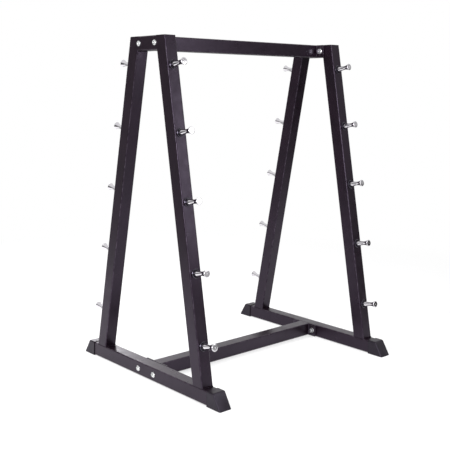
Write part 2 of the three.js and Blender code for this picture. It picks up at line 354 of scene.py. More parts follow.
@dataclass(frozen=True)
class WeldBead:
    """A weld bead under the coat: a rippled tube round a path.

    At angle a of its ring and length s of its path, the bead's radius is
    radius (1 + ripple cos(2 pi (s / ripple pitch - lag cos a))).
    """

    ripple: float = 0.13
    ripple_pitch: float = 0.0029
    lag: float = 0.35
    spacing: float = 0.0005
    columns: int = 10
    end_power: int = 8
    end_share: float = 0.02
    # The bead mirrors less: painted shade in the weld.
    wear: float = PAINTED_SHADE

    def shell(self, path: Points, radius: Points, up: Place, closed: bool) -> Shell:
        """Makes the bead.

        Args:
            path: The middle of the bead, as (points, 3).
            radius: Its radius at each point.
            up: A direction square to the path.
            closed: True where the path joins up.

        Returns:
            The bead's surface.
        """
        if closed:
            tangent = np.roll(path, -1, 0) - np.roll(path, 1, 0)
        else:
            tangent = np.gradient(path, axis=0)
        tangent /= np.linalg.norm(tangent, axis=1, keepdims=True)
        side = np.cross(tangent, up)
        angle = around(self.columns)[None, :, None]
        along = (np.arange(len(path)) * self.spacing)[:, None, None]
        wave = 1 + self.ripple * np.cos(2 * np.pi * (along / self.ripple_pitch - self.lag * np.cos(angle)))
        reach = radius[:, None, None] * wave
        rings = path[:, None] + reach * (side[:, None] * np.cos(angle) + np.asarray(up) * np.sin(angle))
        return Shell(rings, looped=closed, wear=self.wear)

    def straight(self, start: Points, end: Points, radius: float, up: Place) -> Shell:
        """A bead along a straight joint, with rounded ends: radius (1 - (2 s - 1)^8)^(1/2).

        Args:
            start: Where it starts.
            end: Where it ends.
            radius: Its radius in the middle.
            up: A direction square to it.

        Returns:
            The bead's surface.
        """
        length = float(np.linalg.norm(end - start))
        share = np.linspace(0.0, 1.0, int(round(length / self.spacing)) + 1)
        path = start + share[:, None] * (end - start)
        swell = np.sqrt(np.clip(1 - (2 * share - 1) ** self.end_power, self.end_share**2, 1.0))
        return self.shell(path, radius * swell, up, closed=False)


@dataclass(frozen=True)
class RackSizes:
    """The measures that several pieces share."""

    height: float = 1.476
    pitch: float = 1.046
    top_half_depth: float = 0.116
    foot_half_depth: float = 0.368
    foot_half_length: float = 0.428
    tube: float = 0.060
    wall: float = 0.002
    corner: float = 0.005
    fit_gap: float = 0.0003
    boot_wall: float = 0.0025
    plate_thickness: float = 0.006
    bolt_half_spacing: float = 0.053
    holder_top_share: float = 0.085
    holder_pitch_share: float = 0.194
    holder_growth_share: float = 0.0038
    holders_per_leg: int = 5

    @property
    def foot_centre(self) -> float:
        """Height of the middle of the foot tubes and of the lower crossbar."""
        return self.boot_wall + self.fit_gap + self.tube / 2

    @property
    def foot_top(self) -> float:
        """Height of the top of the foot tubes."""
        return self.foot_centre + self.tube / 2

    @property
    def bridge_centre(self) -> float:
        """Height of the middle of the bridges and of the upper crossbar."""
        return self.height - self.tube / 2

    @property
    def lean(self) -> float:
        """Angle between a leg and the vertical, in radians."""
        return math.atan2(self.foot_half_depth - self.top_half_depth, self.height - self.foot_top)

    @property
    def plate_inner_x(self) -> float:
        """Distance from the middle of the rack to the inner face of a crossbar's end plate."""
        return self.pitch / 2 - self.tube / 2 - self.fit_gap - self.plate_thickness

    @property
    def grip(self) -> float:
        """Thickness that a frame bolt clamps: a tube, an end plate and the gaps beside them."""
        return self.tube + self.plate_thickness + 2 * self.fit_gap

    @property
    def outside(self) -> Outline:
        """The outside of the square tube."""
        return rounded_outline(self.tube, self.tube, self.corner)

    @property
    def bore(self) -> Outline:
        """The inside of the square tube."""
        width = self.tube - 2 * self.wall
        return rounded_outline(width, width, self.corner - self.wall)

    def open_tube(self, place: Callable[[Points, Points, Points], tuple[Points, ...]]) -> Shell:
        """A tube that is open at both ends: its outside from end to end, and its bore back again.

        Args:
            place: Gives X, Y and Z for shares w along the tube, from -1 to 1, and for the places across
                and up from its middle.

        Returns:
            The tube's surface.
        """
        skins = np.stack([self.outside.points, self.bore.points]).repeat(2, axis=0)
        along = np.array([-1.0, 1.0, 1.0, -1.0])[:, None]
        return Shell(stacked(*place(along, skins[..., 0], skins[..., 1])), True, self.outside.wear)

    def leg_depth(self, out: Points | float, z: Points | float) -> Points | float:
        """Distance of a point of a leg from the rack's middle plane.

        It is top depth + (out - tube / 2) / cos lean + (height - z) tan lean.

        Args:
            out: Its place square to the leg's outer face, from the leg's middle.
            z: Its height.

        Returns:
            The distance.
        """
        at_top = self.top_half_depth + (out - self.tube / 2) / math.cos(self.lean)
        return at_top + (self.height - z) * math.tan(self.lean)

    def level_height(self, level: Level) -> float:
        """Height of the middle of the crossbar at that level."""
        return self.bridge_centre if level is Level.UPPER else self.foot_centre

    def holder_drops(self) -> Points:
        """Distances down a leg's outer face from its cut top to its holders, from the top down.

        The first is a share of the leg's length, and each space is a little larger than the one above.

        Returns:
            One distance for each holder.
        """
        length = (self.height - self.foot_top) / math.cos(self.lean)
        spaces = self.holder_pitch_share + self.holder_growth_share * np.arange(self.holders_per_leg - 1)
        return np.cumsum([self.holder_top_share, *spaces]) * length


@dataclass(frozen=True)
class Clouds:
    """A cloudy pattern: its features are about 1 / scale metres wide, and count inside its span."""

    scale: float
    detail: float = 2.0
    span: Span = (0.0, 1.0)


class NodeBoard:
    """Places and links the nodes of one material, or of the world."""

    def __init__(self, owner: bpy.types.Material | bpy.types.World) -> None:
        """Clears the owner's nodes, all but a new output.

        Args:
            owner: The material, or the world.
        """
        owner.use_nodes = True
        self.owner = owner
        self.tree = owner.node_tree
        self.tree.nodes.clear()
        kind = "ShaderNodeOutputWorld" if isinstance(owner, bpy.types.World) else "ShaderNodeOutputMaterial"
        self.output = self.tree.nodes.new(kind)

    def node(
        self, kind: str, inputs: dict[str | int, object] | None = None, **settings: object
    ) -> bpy.types.Node:
        """Adds a node.

        Args:
            kind: The node's type.
            inputs: Values or sockets for its inputs, by name or number.
            **settings: Values for its own settings.

        Returns:
            The node.
        """
        made = self.tree.nodes.new(kind)
        for key, value in settings.items():
            setattr(made, key, value)
        for key, value in (inputs or {}).items():
            self.feed(made.inputs[key], value)
        return made

    def feed(self, socket: Socket, value: object) -> None:
        """Links a socket into another, or sets its value.

        Args:
            socket: The input.
            value: What goes in; a colour is filled up with its alpha.
        """
        if isinstance(value, Socket):
            self.tree.links.new(value, socket)
        elif isinstance(value, tuple) and len(value) == 3 and socket.type == "RGBA":
            socket.default_value = (*value, 1.0)
        else:
            socket.default_value = value

    def place(self, space: Space, scale: Place = (1.0, 1.0, 1.0)) -> Socket:
        """Coordinates for a pattern, each stretched by its scale."""
        source = self.node("ShaderNodeTexCoord").outputs[space.value]
        return self.node("ShaderNodeMapping", {"Vector": source, "Scale": scale}).outputs["Vector"]

    def noise(self, place: Socket, clouds: Clouds) -> Socket:
        """A cloudy pattern from 0 to 1."""
        inputs = {"Vector": place, "Scale": clouds.scale, "Detail": clouds.detail}
        return self.node("ShaderNodeTexNoise", inputs).outputs["Fac"]

    def fitted(
        self, value: Socket, low: float, high: float, to_low: float = 0.0, to_high: float = 1.0
    ) -> Socket:
        """A value carried from one range to another, and held inside it."""
        inputs = {"Value": value, "From Min": low, "From Max": high, "To Min": to_low, "To Max": to_high}
        return self.node("ShaderNodeMapRange", inputs, clamp=True).outputs["Result"]

    def clouds(self, place: Socket, clouds: Clouds, to_low: float = 0.0, to_high: float = 1.0) -> Socket:
        """A cloudy pattern whose span is carried to a range."""
        return self.fitted(self.noise(place, clouds), *clouds.span, to_low, to_high)

    def product(self, first: Socket, second: Socket, operation: str = "MULTIPLY") -> Socket:
        """Two values multiplied, or taken together in another way."""
        return self.node("ShaderNodeMath", {0: first, 1: second}, operation=operation).outputs["Value"]

    def larger(self, first: Socket, second: Socket) -> Socket:
        """The larger of two values."""
        return self.product(first, second, "MAXIMUM")

    def along(self, heading: Socket, toward: Place) -> Socket:
        """The cosine of the turn between two headings of length one."""
        inputs = {0: heading, 1: toward}
        return self.node("ShaderNodeVectorMath", inputs, operation="DOT_PRODUCT").outputs["Value"]

    def blend(self, share: Socket, first: object, second: object) -> Socket:
        """Two colours mixed by a share."""
        inputs = {0: share, 6: first, 7: second}
        return self.node("ShaderNodeMix", inputs, data_type="RGBA").outputs[2]

    def chosen(self, share: Socket, first: object, second: object) -> Socket:
        """A value between two, by a share."""
        return self.node("ShaderNodeMix", {0: share, 2: first, 3: second}).outputs[0]

    def shown(self, shader: Socket) -> bpy.types.Material | bpy.types.World:
        """Makes a shader the owner's own, and returns the owner."""
        self.tree.links.new(shader, self.output.inputs["Surface"])
        return self.owner


@dataclass(frozen=True, kw_only=True)
class Finish:
    """Two colours and two roughnesses that take turns in clouds, and a fine grain."""

    name: str
    colours: tuple[Colour, Colour]
    roughness: Span
    colour_clouds: Clouds
    gloss_clouds: Clouds
    grain: Clouds
    grain_depth: float

    def grain_place(self, board: NodeBoard) -> Socket:
        """The coordinates of the grain."""
        return board.place(Space.OBJECT)

    def inputs(self, board: NodeBoard) -> dict[str, object]:
        """Values and sockets for the surface shader.

        Args:
            board: Where their nodes stand.

        Returns:
            Each of them by the name of its input.
        """
        place = board.place(Space.OBJECT)
        relief = {"Height": board.noise(self.grain_place(board), self.grain), "Distance": self.grain_depth}
        return {
            "Base Color": board.blend(board.clouds(place, self.colour_clouds), *self.colours),
            "Roughness": board.clouds(place, self.gloss_clouds, *self.roughness),
            "Normal": board.node("ShaderNodeBump", relief).outputs["Normal"],
        }

    def material(self) -> bpy.types.Material:
        """Builds the material."""
        board = NodeBoard(bpy.data.materials.new(self.name))
        return board.shown(board.node("ShaderNodeBsdfPrincipled", self.inputs(board)).outputs["BSDF"])


@dataclass(frozen=True, kw_only=True)
class BlackFinish(Finish):
    """Powder coat, rubber or hard plastic, which mirrors less where it carries painted shade, as on the
    welds.
    """

    colour_clouds: Clouds = Clouds(34.0, 5.0, (0.38, 0.72))
    gloss_clouds: Clouds = Clouds(90.0, 3.0, (0.3, 0.7))
    specular: float
    # How much it mirrors under painted shade.
    sheltered: float = 0.04
    tint: Colour = (0.84, 0.76, 1.00)
    # The colour of scuffed edges, which also serves as a painted highlight.
    rubbed: Colour | None = None
    rubbing: Clouds = Clouds(70.0, 4.0, (0.42, 0.75))
    most_rubbed: float = 0.55

    def inputs(self, board: NodeBoard) -> dict[str, object]:
        """Adds the dimmer shine of painted shade, and the pale colour of scuffed edges, also a painted
        highlight, where a pattern breaks them up.

        Args:
            board: Where their nodes stand.

        Returns:
            Each of them by the name of its input.
        """
        made = super().inputs(board)
        wear_light_shade_share = board.node("ShaderNodeAttribute", attribute_name=WEAR_LIGHT_SHADE_ATTRIBUTE).outputs["Fac"]
        # Painted highlight with scuffed edges: a paler colour where the attribute is above zero.
        if self.rubbed:
            broken = board.clouds(board.place(Space.OBJECT), self.rubbing, 0.0, self.most_rubbed)
            made["Base Color"] = board.blend(board.product(wear_light_shade_share, broken), made["Base Color"], self.rubbed)
        # Painted shade: below zero the finish mirrors less.
        shine = board.fitted(wear_light_shade_share, PAINTED_SHADE, 0.0, self.sheltered, self.specular)
        return made | {"Specular IOR Level": shine, "Specular Tint": self.tint}


@dataclass(frozen=True, kw_only=True)
class BrightMetal(Finish):
    """Plated metal whose grain runs round it, as a lathe leaves it: polished chrome or zinc."""

    mark_stretch: Place = (0.02, 1.0, 1.0)

    def grain_place(self, board: NodeBoard) -> Socket:
        """Coordinates that change along the piece's own surface and hardly round it."""
        return board.place(Space.SURFACE, self.mark_stretch)

    def inputs(self, board: NodeBoard) -> dict[str, object]:
        """Makes it metal."""
        return super().inputs(board) | {"Metallic": 1.0}


FINISHES: dict[Slot, Finish] = {
    Slot.POWDER_COAT: BlackFinish(
        name="black powder coat",
        colours=((0.0034, 0.0008, 0.0022), (0.0056, 0.0018, 0.0044)),
        roughness=(0.27, 0.38),
        colour_clouds=Clouds(9.0, 3.0, (0.35, 0.65)),
        gloss_clouds=Clouds(26.0, 3.0, (0.3, 0.7)),
        grain=Clouds(620.0),
        grain_depth=0.00006,
        specular=0.50,
        sheltered=0.12,
        tint=(0.85, 0.70, 1.00),
        # Paler colour of scuffed edges and a painted highlight.
        rubbed=(0.0900, 0.0760, 0.0940),
    ),
    Slot.BOOT_RUBBER: BlackFinish(
        name="black boot rubber",
        colours=((0.0046, 0.0028, 0.0044), (0.0080, 0.0054, 0.0078)),
        roughness=(0.36, 0.44),
        grain=Clouds(900.0),
        grain_depth=0.00005,
        specular=0.46,
    ),
    Slot.CUP_PLASTIC: BlackFinish(
        name="black cup plastic",
        colours=((0.0030, 0.0022, 0.0030), (0.0050, 0.0040, 0.0050)),
        roughness=(0.10, 0.16),
        grain=Clouds(1400.0),
        grain_depth=0.000004,
        specular=1.0,
    ),
    Slot.CHROME: BrightMetal(
        name="polished chrome",
        colours=((0.84, 0.82, 0.85), (0.76, 0.74, 0.78)),
        roughness=(0.05, 0.12),
        colour_clouds=Clouds(45.0, 3.0, (0.35, 0.65)),
        gloss_clouds=Clouds(112.5, 4.0, (0.35, 0.7)),
        grain=Clouds(2600.0, 3.0),
        grain_depth=0.000004,
    ),
    Slot.ZINC: BrightMetal(
        name="bright zinc plate",
        colours=((0.86, 0.87, 0.88), (0.78, 0.79, 0.79)),
        roughness=(0.20, 0.32),
        colour_clouds=Clouds(120.0, 3.0, (0.35, 0.65)),
        gloss_clouds=Clouds(300.0, 4.0, (0.35, 0.7)),
        grain=Clouds(1800.0, 3.0),
        grain_depth=0.00001,
    ),
}


@dataclass
class FinishShop:
    """Builds each finish once, and makes the pieces with them."""

    materials: dict[Slot, bpy.types.Material] = field(default_factory=dict)

    def piece(
        self,
        name: str,
        slot: Slot,
        shells: Sequence[Shell],
        stands_for: Sequence[str] = (),
        crease_degrees: float = 34.0,
    ) -> Piece:
        """Makes a piece, and gives it its finish and its place on the rack.

        Args:
            name: The piece's name.
            slot: Its finish.
            shells: The surfaces that it is made of.
            stands_for: The solids that it is shown instead of.
            crease_degrees: Faces that meet at more than this angle keep a crease.

        Returns:
            The piece.
        """
        if slot not in self.materials:
            self.materials[slot] = FINISHES[slot].material()
        piece = make_piece(name, shells)
        piece.data.set_sharp_from_angle(angle=math.radians(crease_degrees))
        piece.data.materials.append(self.materials[slot])
        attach(piece, BODY)
        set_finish(piece, slot.value)
        if stands_for:
            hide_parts(*stands_for)
        return piece


@dataclass
class Assembly:
    """A part of the rack that is put together on its own."""

    sizes: RackSizes
    shop: FinishShop

    def build(self) -> Iterator[Piece]:
        """Makes its pieces, one after the other."""
        raise NotImplementedError


@dataclass
class SideFrame(Assembly):
    """One side frame: two leaning legs and a bridge on a foot tube, with their welds."""

    side: Side
    cut_bevel: float = 0.0009
    foot_bead_radius: float = 0.0046
    foot_bead_spread: float = 0.0008
    groove_bead_radius: float = 0.0028
    groove_bead_margin: float = 0.0011
    groove_start: float = 0.9
    groove_sink: float = 0.0018
    bridge_bead_radius: float = 0.0028
    bridge_bead_margin: float = 0.0030
    weld_crease: float = 80.0
    upward: Place = (0.0, 0.0, 1.0)
    bead: WeldBead = WeldBead()

    @property
    def x(self) -> float:
        """The X of the frame's middle."""
        return self.side.value * self.sizes.pitch / 2

    def leg(self, face: Face) -> Shell:
        """A hollow leg with a closed top, cut level at both ends.

        Args:
            face: Which leg.

        Returns:
            The leg's surface.
        """
        s = self.sizes
        low = s.foot_top + s.fit_gap
        drop, inset = quarter_round(self.cut_bevel, 4)
        outside = s.outside.shrunk(np.array([0.0, 0.0, *inset]), s.tube)
        sections = np.concatenate([s.bore.shrunk(np.zeros(2), s.tube), outside])
        below_top = np.array([s.wall, s.height - low, s.height - low, 2 * self.cut_bevel, *drop])
        z = s.height - below_top[:, None]
        depth = s.leg_depth(sections[..., 1], z)
        return Shell(stacked(self.x + sections[..., 0], face.value * depth, z), wear=s.outside.wear)

    def bridge(self) -> Shell:
        """The bridge between the legs, with its ends cut to their lean.

        At share w along it and height z it lies at y = w leg depth(z), a corner deep in the legs.

        Returns:
            The bridge's surface.
        """
        s = self.sizes

        def place(w: Points, across: Points, up: Points) -> tuple[Points, ...]:
            """Where a point of it lies."""
            z = s.bridge_centre + up
            return self.x + across, w * s.leg_depth(s.corner - s.tube / 2, z), z

        return s.open_tube(place)

    def foot_tube(self) -> Shell:
        """The foot tube, open at both ends inside its boots."""
        reach, level = self.sizes.foot_half_length, self.sizes.foot_centre
        return self.sizes.open_tube(lambda w, across, up: (self.x + across, w * reach, level + up))

    def foot_bead(self, face: Face) -> Shell:
        """The bead round a leg's foot, which sinks into the groove beside the leg.

        Args:
            face: Which leg.

        Returns:
            The bead's surface.
        """
        s = self.sizes
        width = s.tube - 2 * (self.groove_bead_radius + self.groove_bead_margin)
        depth = s.tube / math.cos(s.lean) + self.foot_bead_spread
        across, along = resampled_loop(rounded_outline(width, depth, s.corner), self.bead.spacing).T
        share = (np.abs(across) / (width / 2) - self.groove_start) / (1 - self.groove_start)
        beside = np.clip(share, 0.0, 1.0) ** 2
        middle = face.value * s.leg_depth(0.0, s.foot_top)
        path = stacked(self.x + across, middle + along, s.foot_top - self.groove_sink * beside)
        radius = self.foot_bead_radius + (self.groove_bead_radius - self.foot_bead_radius) * beside
        return self.bead.shell(path, radius, self.upward, closed=True)

    def bridge_bead(self, face: Face) -> Shell:
        """The bead under the bridge, in its corner with a leg.

        Args:
            face: Which leg.

        Returns:
            The bead's surface.
        """
        s = self.sizes
        z = s.height - s.tube
        y = face.value * s.leg_depth(-s.tube / 2, z)
        reach = s.tube / 2 - self.bridge_bead_margin
        start, end = (np.array([self.x + sign * reach, y, z]) for sign in (-1, 1))
        return self.bead.straight(start, end, self.bridge_bead_radius, self.upward)

    def build(self) -> Iterator[Piece]:
        """Makes the frame's pieces, one after the other.

        Yields:
            Each piece.
        """
        side, coat = self.side.label, Slot.POWDER_COAT
        for face in Face:
            yield self.shop.piece(f"{side}_{face.label}_leg", coat, [self.leg(face)], [f"{side}_frame"])
        yield self.shop.piece(f"{side}_bridge", coat, [self.bridge()], [f"{side}_frame"])
        yield self.shop.piece(f"{side}_foot_tube", coat, [self.foot_tube()], [f"{side}_foot_tube"])
        for face in Face:
            beads = [self.foot_bead(face), self.bridge_bead(face)]
            name = f"{side}_{face.label}_leg_welds"
            yield self.shop.piece(name, coat, beads, crease_degrees=self.weld_crease)


@dataclass
class Boot(Assembly):
    """A rubber boot: a sleeve over the foot tube's end with a sloping nose."""

    side: Side
    face: Face
    sleeve: float = 0.032
    nose_thickness: float = 0.006
    nose_spread: float = 0.040
    corner: float = 0.0058
    sole_corner: float = 0.0018
    lip: float = 0.0008
    nose_round: float = 0.0055
    support_share: float = 0.02
    mouth_flare: float = 0.0012
    flare_depth: float = 0.0030

    def build(self) -> Iterator[Piece]:
        """Makes the boot.

        A ring at share w of the outside lies at y = mouth + w (nose(z) - mouth), where the nose leans
        out towards the floor, so the rings turn from upright at the mouth to the slope of the nose. Its
        last rings are drawn in at the sides and the top, and the sole runs flat to its front edge.

        Yields:
            The boot.
        """
        s = self.sizes
        mouth = s.foot_half_length - self.sleeve
        bore_end = s.foot_half_length + s.fit_gap
        bore_width = s.tube + 2 * s.fit_gap
        width = bore_width + 2 * s.boot_wall
        length = bore_end + self.nose_thickness + self.nose_spread / 2 - mouth

        lip_step, lip_inset = quarter_round(self.lip, 4)
        nose_step, nose_inset = quarter_round(self.nose_round, 6)
        start, stop = lip_step[::-1] / length, 1 - nose_step / length
        shares = np.array([*start, start[-1] + self.support_share, stop[0] - self.support_share, *stop])
        insets = np.array([*lip_inset[::-1], 0.0, 0.0, *nose_inset])

        outer = rounded_outline(width, width, self.corner, low_radius=self.sole_corner)
        z = (width / 2 + outer.points[:, 1]) * (1 - insets[:, None] / width)
        nose = bore_end + self.nose_thickness + self.nose_spread * (1 - z / width)
        outside = stacked(outer.shrunk(insets, width)[..., 0], mouth + shares[:, None] * (nose - mouth), z)

        bore = rounded_outline(bore_width, bore_width, s.corner + s.fit_gap)
        hollow = bore.shrunk(np.array([0.0, 0.0, -self.mouth_flare]), bore_width)
        depth = np.array([bore_end, mouth + self.flare_depth, mouth])[:, None]
        inside = stacked(hollow[..., 0], depth, width / 2 + hollow[..., 1])

        rings = np.concatenate([inside, outside])
        rings[..., 0] += self.side.value * s.pitch / 2
        rings[..., 1] *= self.face.value
        # Painted shade in the boot's mouth and over its lip: they mirror less.
        mouth_painted_shade = np.zeros((len(rings), 1))
        mouth_painted_shade[: len(inside) + len(start)] = PAINTED_SHADE
        name = f"{self.side.label}_{self.face.label}_boot"
        yield self.shop.piece(name, Slot.BOOT_RUBBER, [Shell(rings, wear=mouth_painted_shade)], [name])


@dataclass
class Crossbar(Assembly):
    """A crossbar: a square tube with a flat plate welded on each end."""

    level: Level
    plate_margin: float = 0.022
    plate_corner: float = 0.006
    plate_bevel: float = 0.0009
    side_bead_radius: float = 0.0036
    top_bead_radius: float = 0.0011
    dressed_start: float = 0.86
    weld_crease: float = 80.0
    lengthways: Place = (1.0, 0.0, 0.0)
    # The seam beads take the paler edge colour and full shine: a painted highlight along the seam.
    bead: WeldBead = WeldBead(wear=0.9)

    @property
    def z(self) -> float:
        """The height of the bar's middle."""
        return self.sizes.level_height(self.level)

    def tube(self) -> Shell:
        """The tube between the plates, hollow."""
        reach = self.sizes.plate_inner_x
        return self.sizes.open_tube(lambda w, across, up: (w * reach, across, self.z + up))

    def plate(self, side: Side) -> Shell:
        """An end plate with rounded corners and softened edges.

        Args:
            side: Which end.

        Returns:
            The plate's surface.
        """
        s = self.sizes
        outline = rounded_outline(2 * (s.bolt_half_spacing + self.plate_margin), s.tube, self.plate_corner)
        step, inset = quarter_round(self.plate_bevel, 4)
        depth = np.concatenate([step[::-1], s.plate_thickness - step])[:, None]
        insets = np.concatenate([inset[::-1], inset])[:, None, None]
        points = outline.points - np.sign(outline.points) * insets
        rings = stacked(side.value * (s.plate_inner_x + depth), points[..., 0], self.z + points[..., 1])
        return Shell(rings, wear=outline.wear)

    def bead_loop(self, side: Side) -> Shell:
        """The bead between tube and plate: full at the tube's sides, and dressed flat above and below.

        Args:
            side: Which end.

        Returns:
            The bead's surface.
        """
        s = self.sizes
        height = s.tube - 2 * self.top_bead_radius
        across, up = resampled_loop(rounded_outline(s.tube, height, s.corner), self.bead.spacing).T
        share = (np.abs(up) / (height / 2) - self.dressed_start) / (1 - self.dressed_start)
        change = self.top_bead_radius - self.side_bead_radius
        radius = self.side_bead_radius + change * np.clip(share, 0.0, 1.0)
        path = stacked(side.value * s.plate_inner_x, across, self.z + up)
        return self.bead.shell(path, radius, self.lengthways, closed=True)

    def build(self) -> Iterator[Piece]:
        """Makes the bar and its beads, one after the other.

        Yields:
            Each piece.
        """
        name, coat = f"{self.level.value}_crossbar", Slot.POWDER_COAT
        yield self.shop.piece(name, coat, [self.tube(), *(self.plate(side) for side in Side)], [name])
        beads = [self.bead_loop(side) for side in Side]
        yield self.shop.piece(f"{name}_welds", coat, beads, crease_degrees=self.weld_crease)


@dataclass
class FrameBolt(Assembly):
    """A through bolt with a domed socket head, two washers and a nut."""

    side: Side
    level: Level
    face: Face
    radius: float = 0.006
    washer_radius: float = 0.012
    washer_thickness: float = 0.0025
    head_radius: float = 0.0105
    head_height: float = 0.0066
    socket_corner: float = 0.0046
    socket_depth: float = 0.004
    nut_corner: float = 0.011
    nut_height: float = 0.010
    tail: float = 0.003
    thread_pitch: float = 0.00175
    thread_depth: float = 0.0005
    thread_play: float = 0.0001
    thread_steps: int = 8
    dome_rings: int = 9
    nut_lead: float = 0.0003
    edge: float = 0.0002
    chamfer: float = 0.0007
    crease: float = 28.0
    columns: int = 48

    def placing(self) -> Placing:
        """Where the bolt stands: zero on the frame's outer face, Z inwards along the bolt.

        Returns:
            Its origin and axes.
        """
        s = self.sizes
        out = float(self.side.value)
        x, y = out * (s.pitch / 2 + s.tube / 2), self.face.value * s.bolt_half_spacing
        axes = ((0.0, 0.0, out), (0.0, 1.0, 0.0), (-out, 0.0, 0.0))
        return Placing((x, y, s.level_height(self.level)), axes)

    def hexagon(self, corner: float) -> Points:
        """Radius of a hexagon all round: corner cos 30 / cos(a mod 60 - 30), in degrees."""
        angle = np.mod(around(self.columns), math.pi / 3) - math.pi / 6
        return corner * math.cos(math.pi / 6) / np.cos(angle)

    def bolt(self) -> Shell:
        """The bolt: socket floor and wall, dome, seat, shank and a threaded tail.

        The dome is head radius sin t wide at head height cos t, from the socket's rim outwards. The
        thread's radius is radius - depth |2 frac(z / pitch - a / 2 pi) - 1|.

        Returns:
            The bolt's surface.
        """
        seat = -self.sizes.fit_gap - self.washer_thickness
        socket = self.hexagon(self.socket_corner)
        socket_floor = seat - self.head_height + self.socket_depth
        rim_angle = math.asin((self.socket_corner + 2 * self.edge) / self.head_radius)
        rim = seat - self.head_height * math.cos(rim_angle)
        end = self.sizes.grip + self.washer_thickness + self.nut_height + self.tail
        thread_start = end - self.tail - self.nut_height
        rows = [
            (0.15 * socket, socket_floor + 4 * self.edge),
            (0.92 * socket, socket_floor),
            (socket, socket_floor - 2 * self.edge),
            (socket, rim + self.chamfer),
            (socket + self.edge, rim + self.edge),
        ]
        for t in np.linspace(rim_angle, np.pi / 2, self.dome_rings):
            rows.append((self.head_radius * math.sin(t), seat - self.head_height * math.cos(t)))
        rows += [
            (self.head_radius, seat - self.edge / 2),
            (0.98 * self.head_radius, seat),
            (1.02 * self.radius, seat),
            (self.radius, seat + self.edge),
            (self.radius, thread_start - self.edge),
        ]
        rings = int(self.thread_steps * (end - thread_start) / self.thread_pitch)
        z = np.linspace(thread_start, end - 4 * self.edge, rings)
        phase = np.mod(z[:, None] / self.thread_pitch - np.arange(self.columns) / self.columns, 1.0)
        rows += zip(self.radius - self.thread_depth * np.abs(2 * phase - 1), z)
        rows.append((0.86 * self.radius, end))
        return Shell(turned(rows, self.columns))

    def washer(self, start: float) -> Shell:
        """A flat washer with softened edges.

        Args:
            start: The height where it starts.

        Returns:
            The washer's surface.
        """
        stop = start + self.washer_thickness
        bore = self.radius + 2 * self.edge
        corners = [(bore, start), (self.washer_radius, start), (self.washer_radius, stop), (bore, stop)]
        return Shell(turned(softened(corners, 2 * self.edge, steps=3), self.columns), looped=True)

    def nut(self, start: float) -> Shell:
        """A hexagon nut with coned corners, the same from both ends.

        Where the hexagon's radius is r, the cone leaves its side (r - r flat) tan 30 from each end.

        Args:
            start: The height of its seat.

        Returns:
            The nut's surface.
        """
        hexagon = self.hexagon(self.nut_corner)
        flat = 0.96 * hexagon.min()
        cone = (hexagon - flat) * math.tan(math.pi / 6)
        bore = self.radius + self.thread_play
        half = [
            (bore, self.chamfer),
            (1.1 * bore, 0.0),
            (flat, 0.0),
            (hexagon, cone),
            (hexagon, cone + self.nut_lead),
        ]
        stop = start + self.nut_height
        rows = [(r, start + h) for r, h in half] + [(r, stop - h) for r, h in reversed(half)]
        return Shell(turned(rows, self.columns), looped=True)

    def build(self) -> Iterator[Piece]:
        """Makes the bolt, its washers and its nut, one after the other.

        Yields:
            Each piece.
        """
        grip = self.sizes.grip
        node = f"{self.side.label}_{self.level.value}_{self.face.label}_bolt"
        parts = {
            node: self.bolt(),
            f"{node}_outer_washer": self.washer(-self.sizes.fit_gap - self.washer_thickness),
            f"{node}_inner_washer": self.washer(grip),
            f"{node}_nut": self.nut(grip + self.washer_thickness),
        }
        for name, shell in parts.items():
            placed = Shell(self.placing().carry(shell.rings), shell.looped)
            yield self.shop.piece(name, Slot.ZINC, [placed], [node], self.crease)


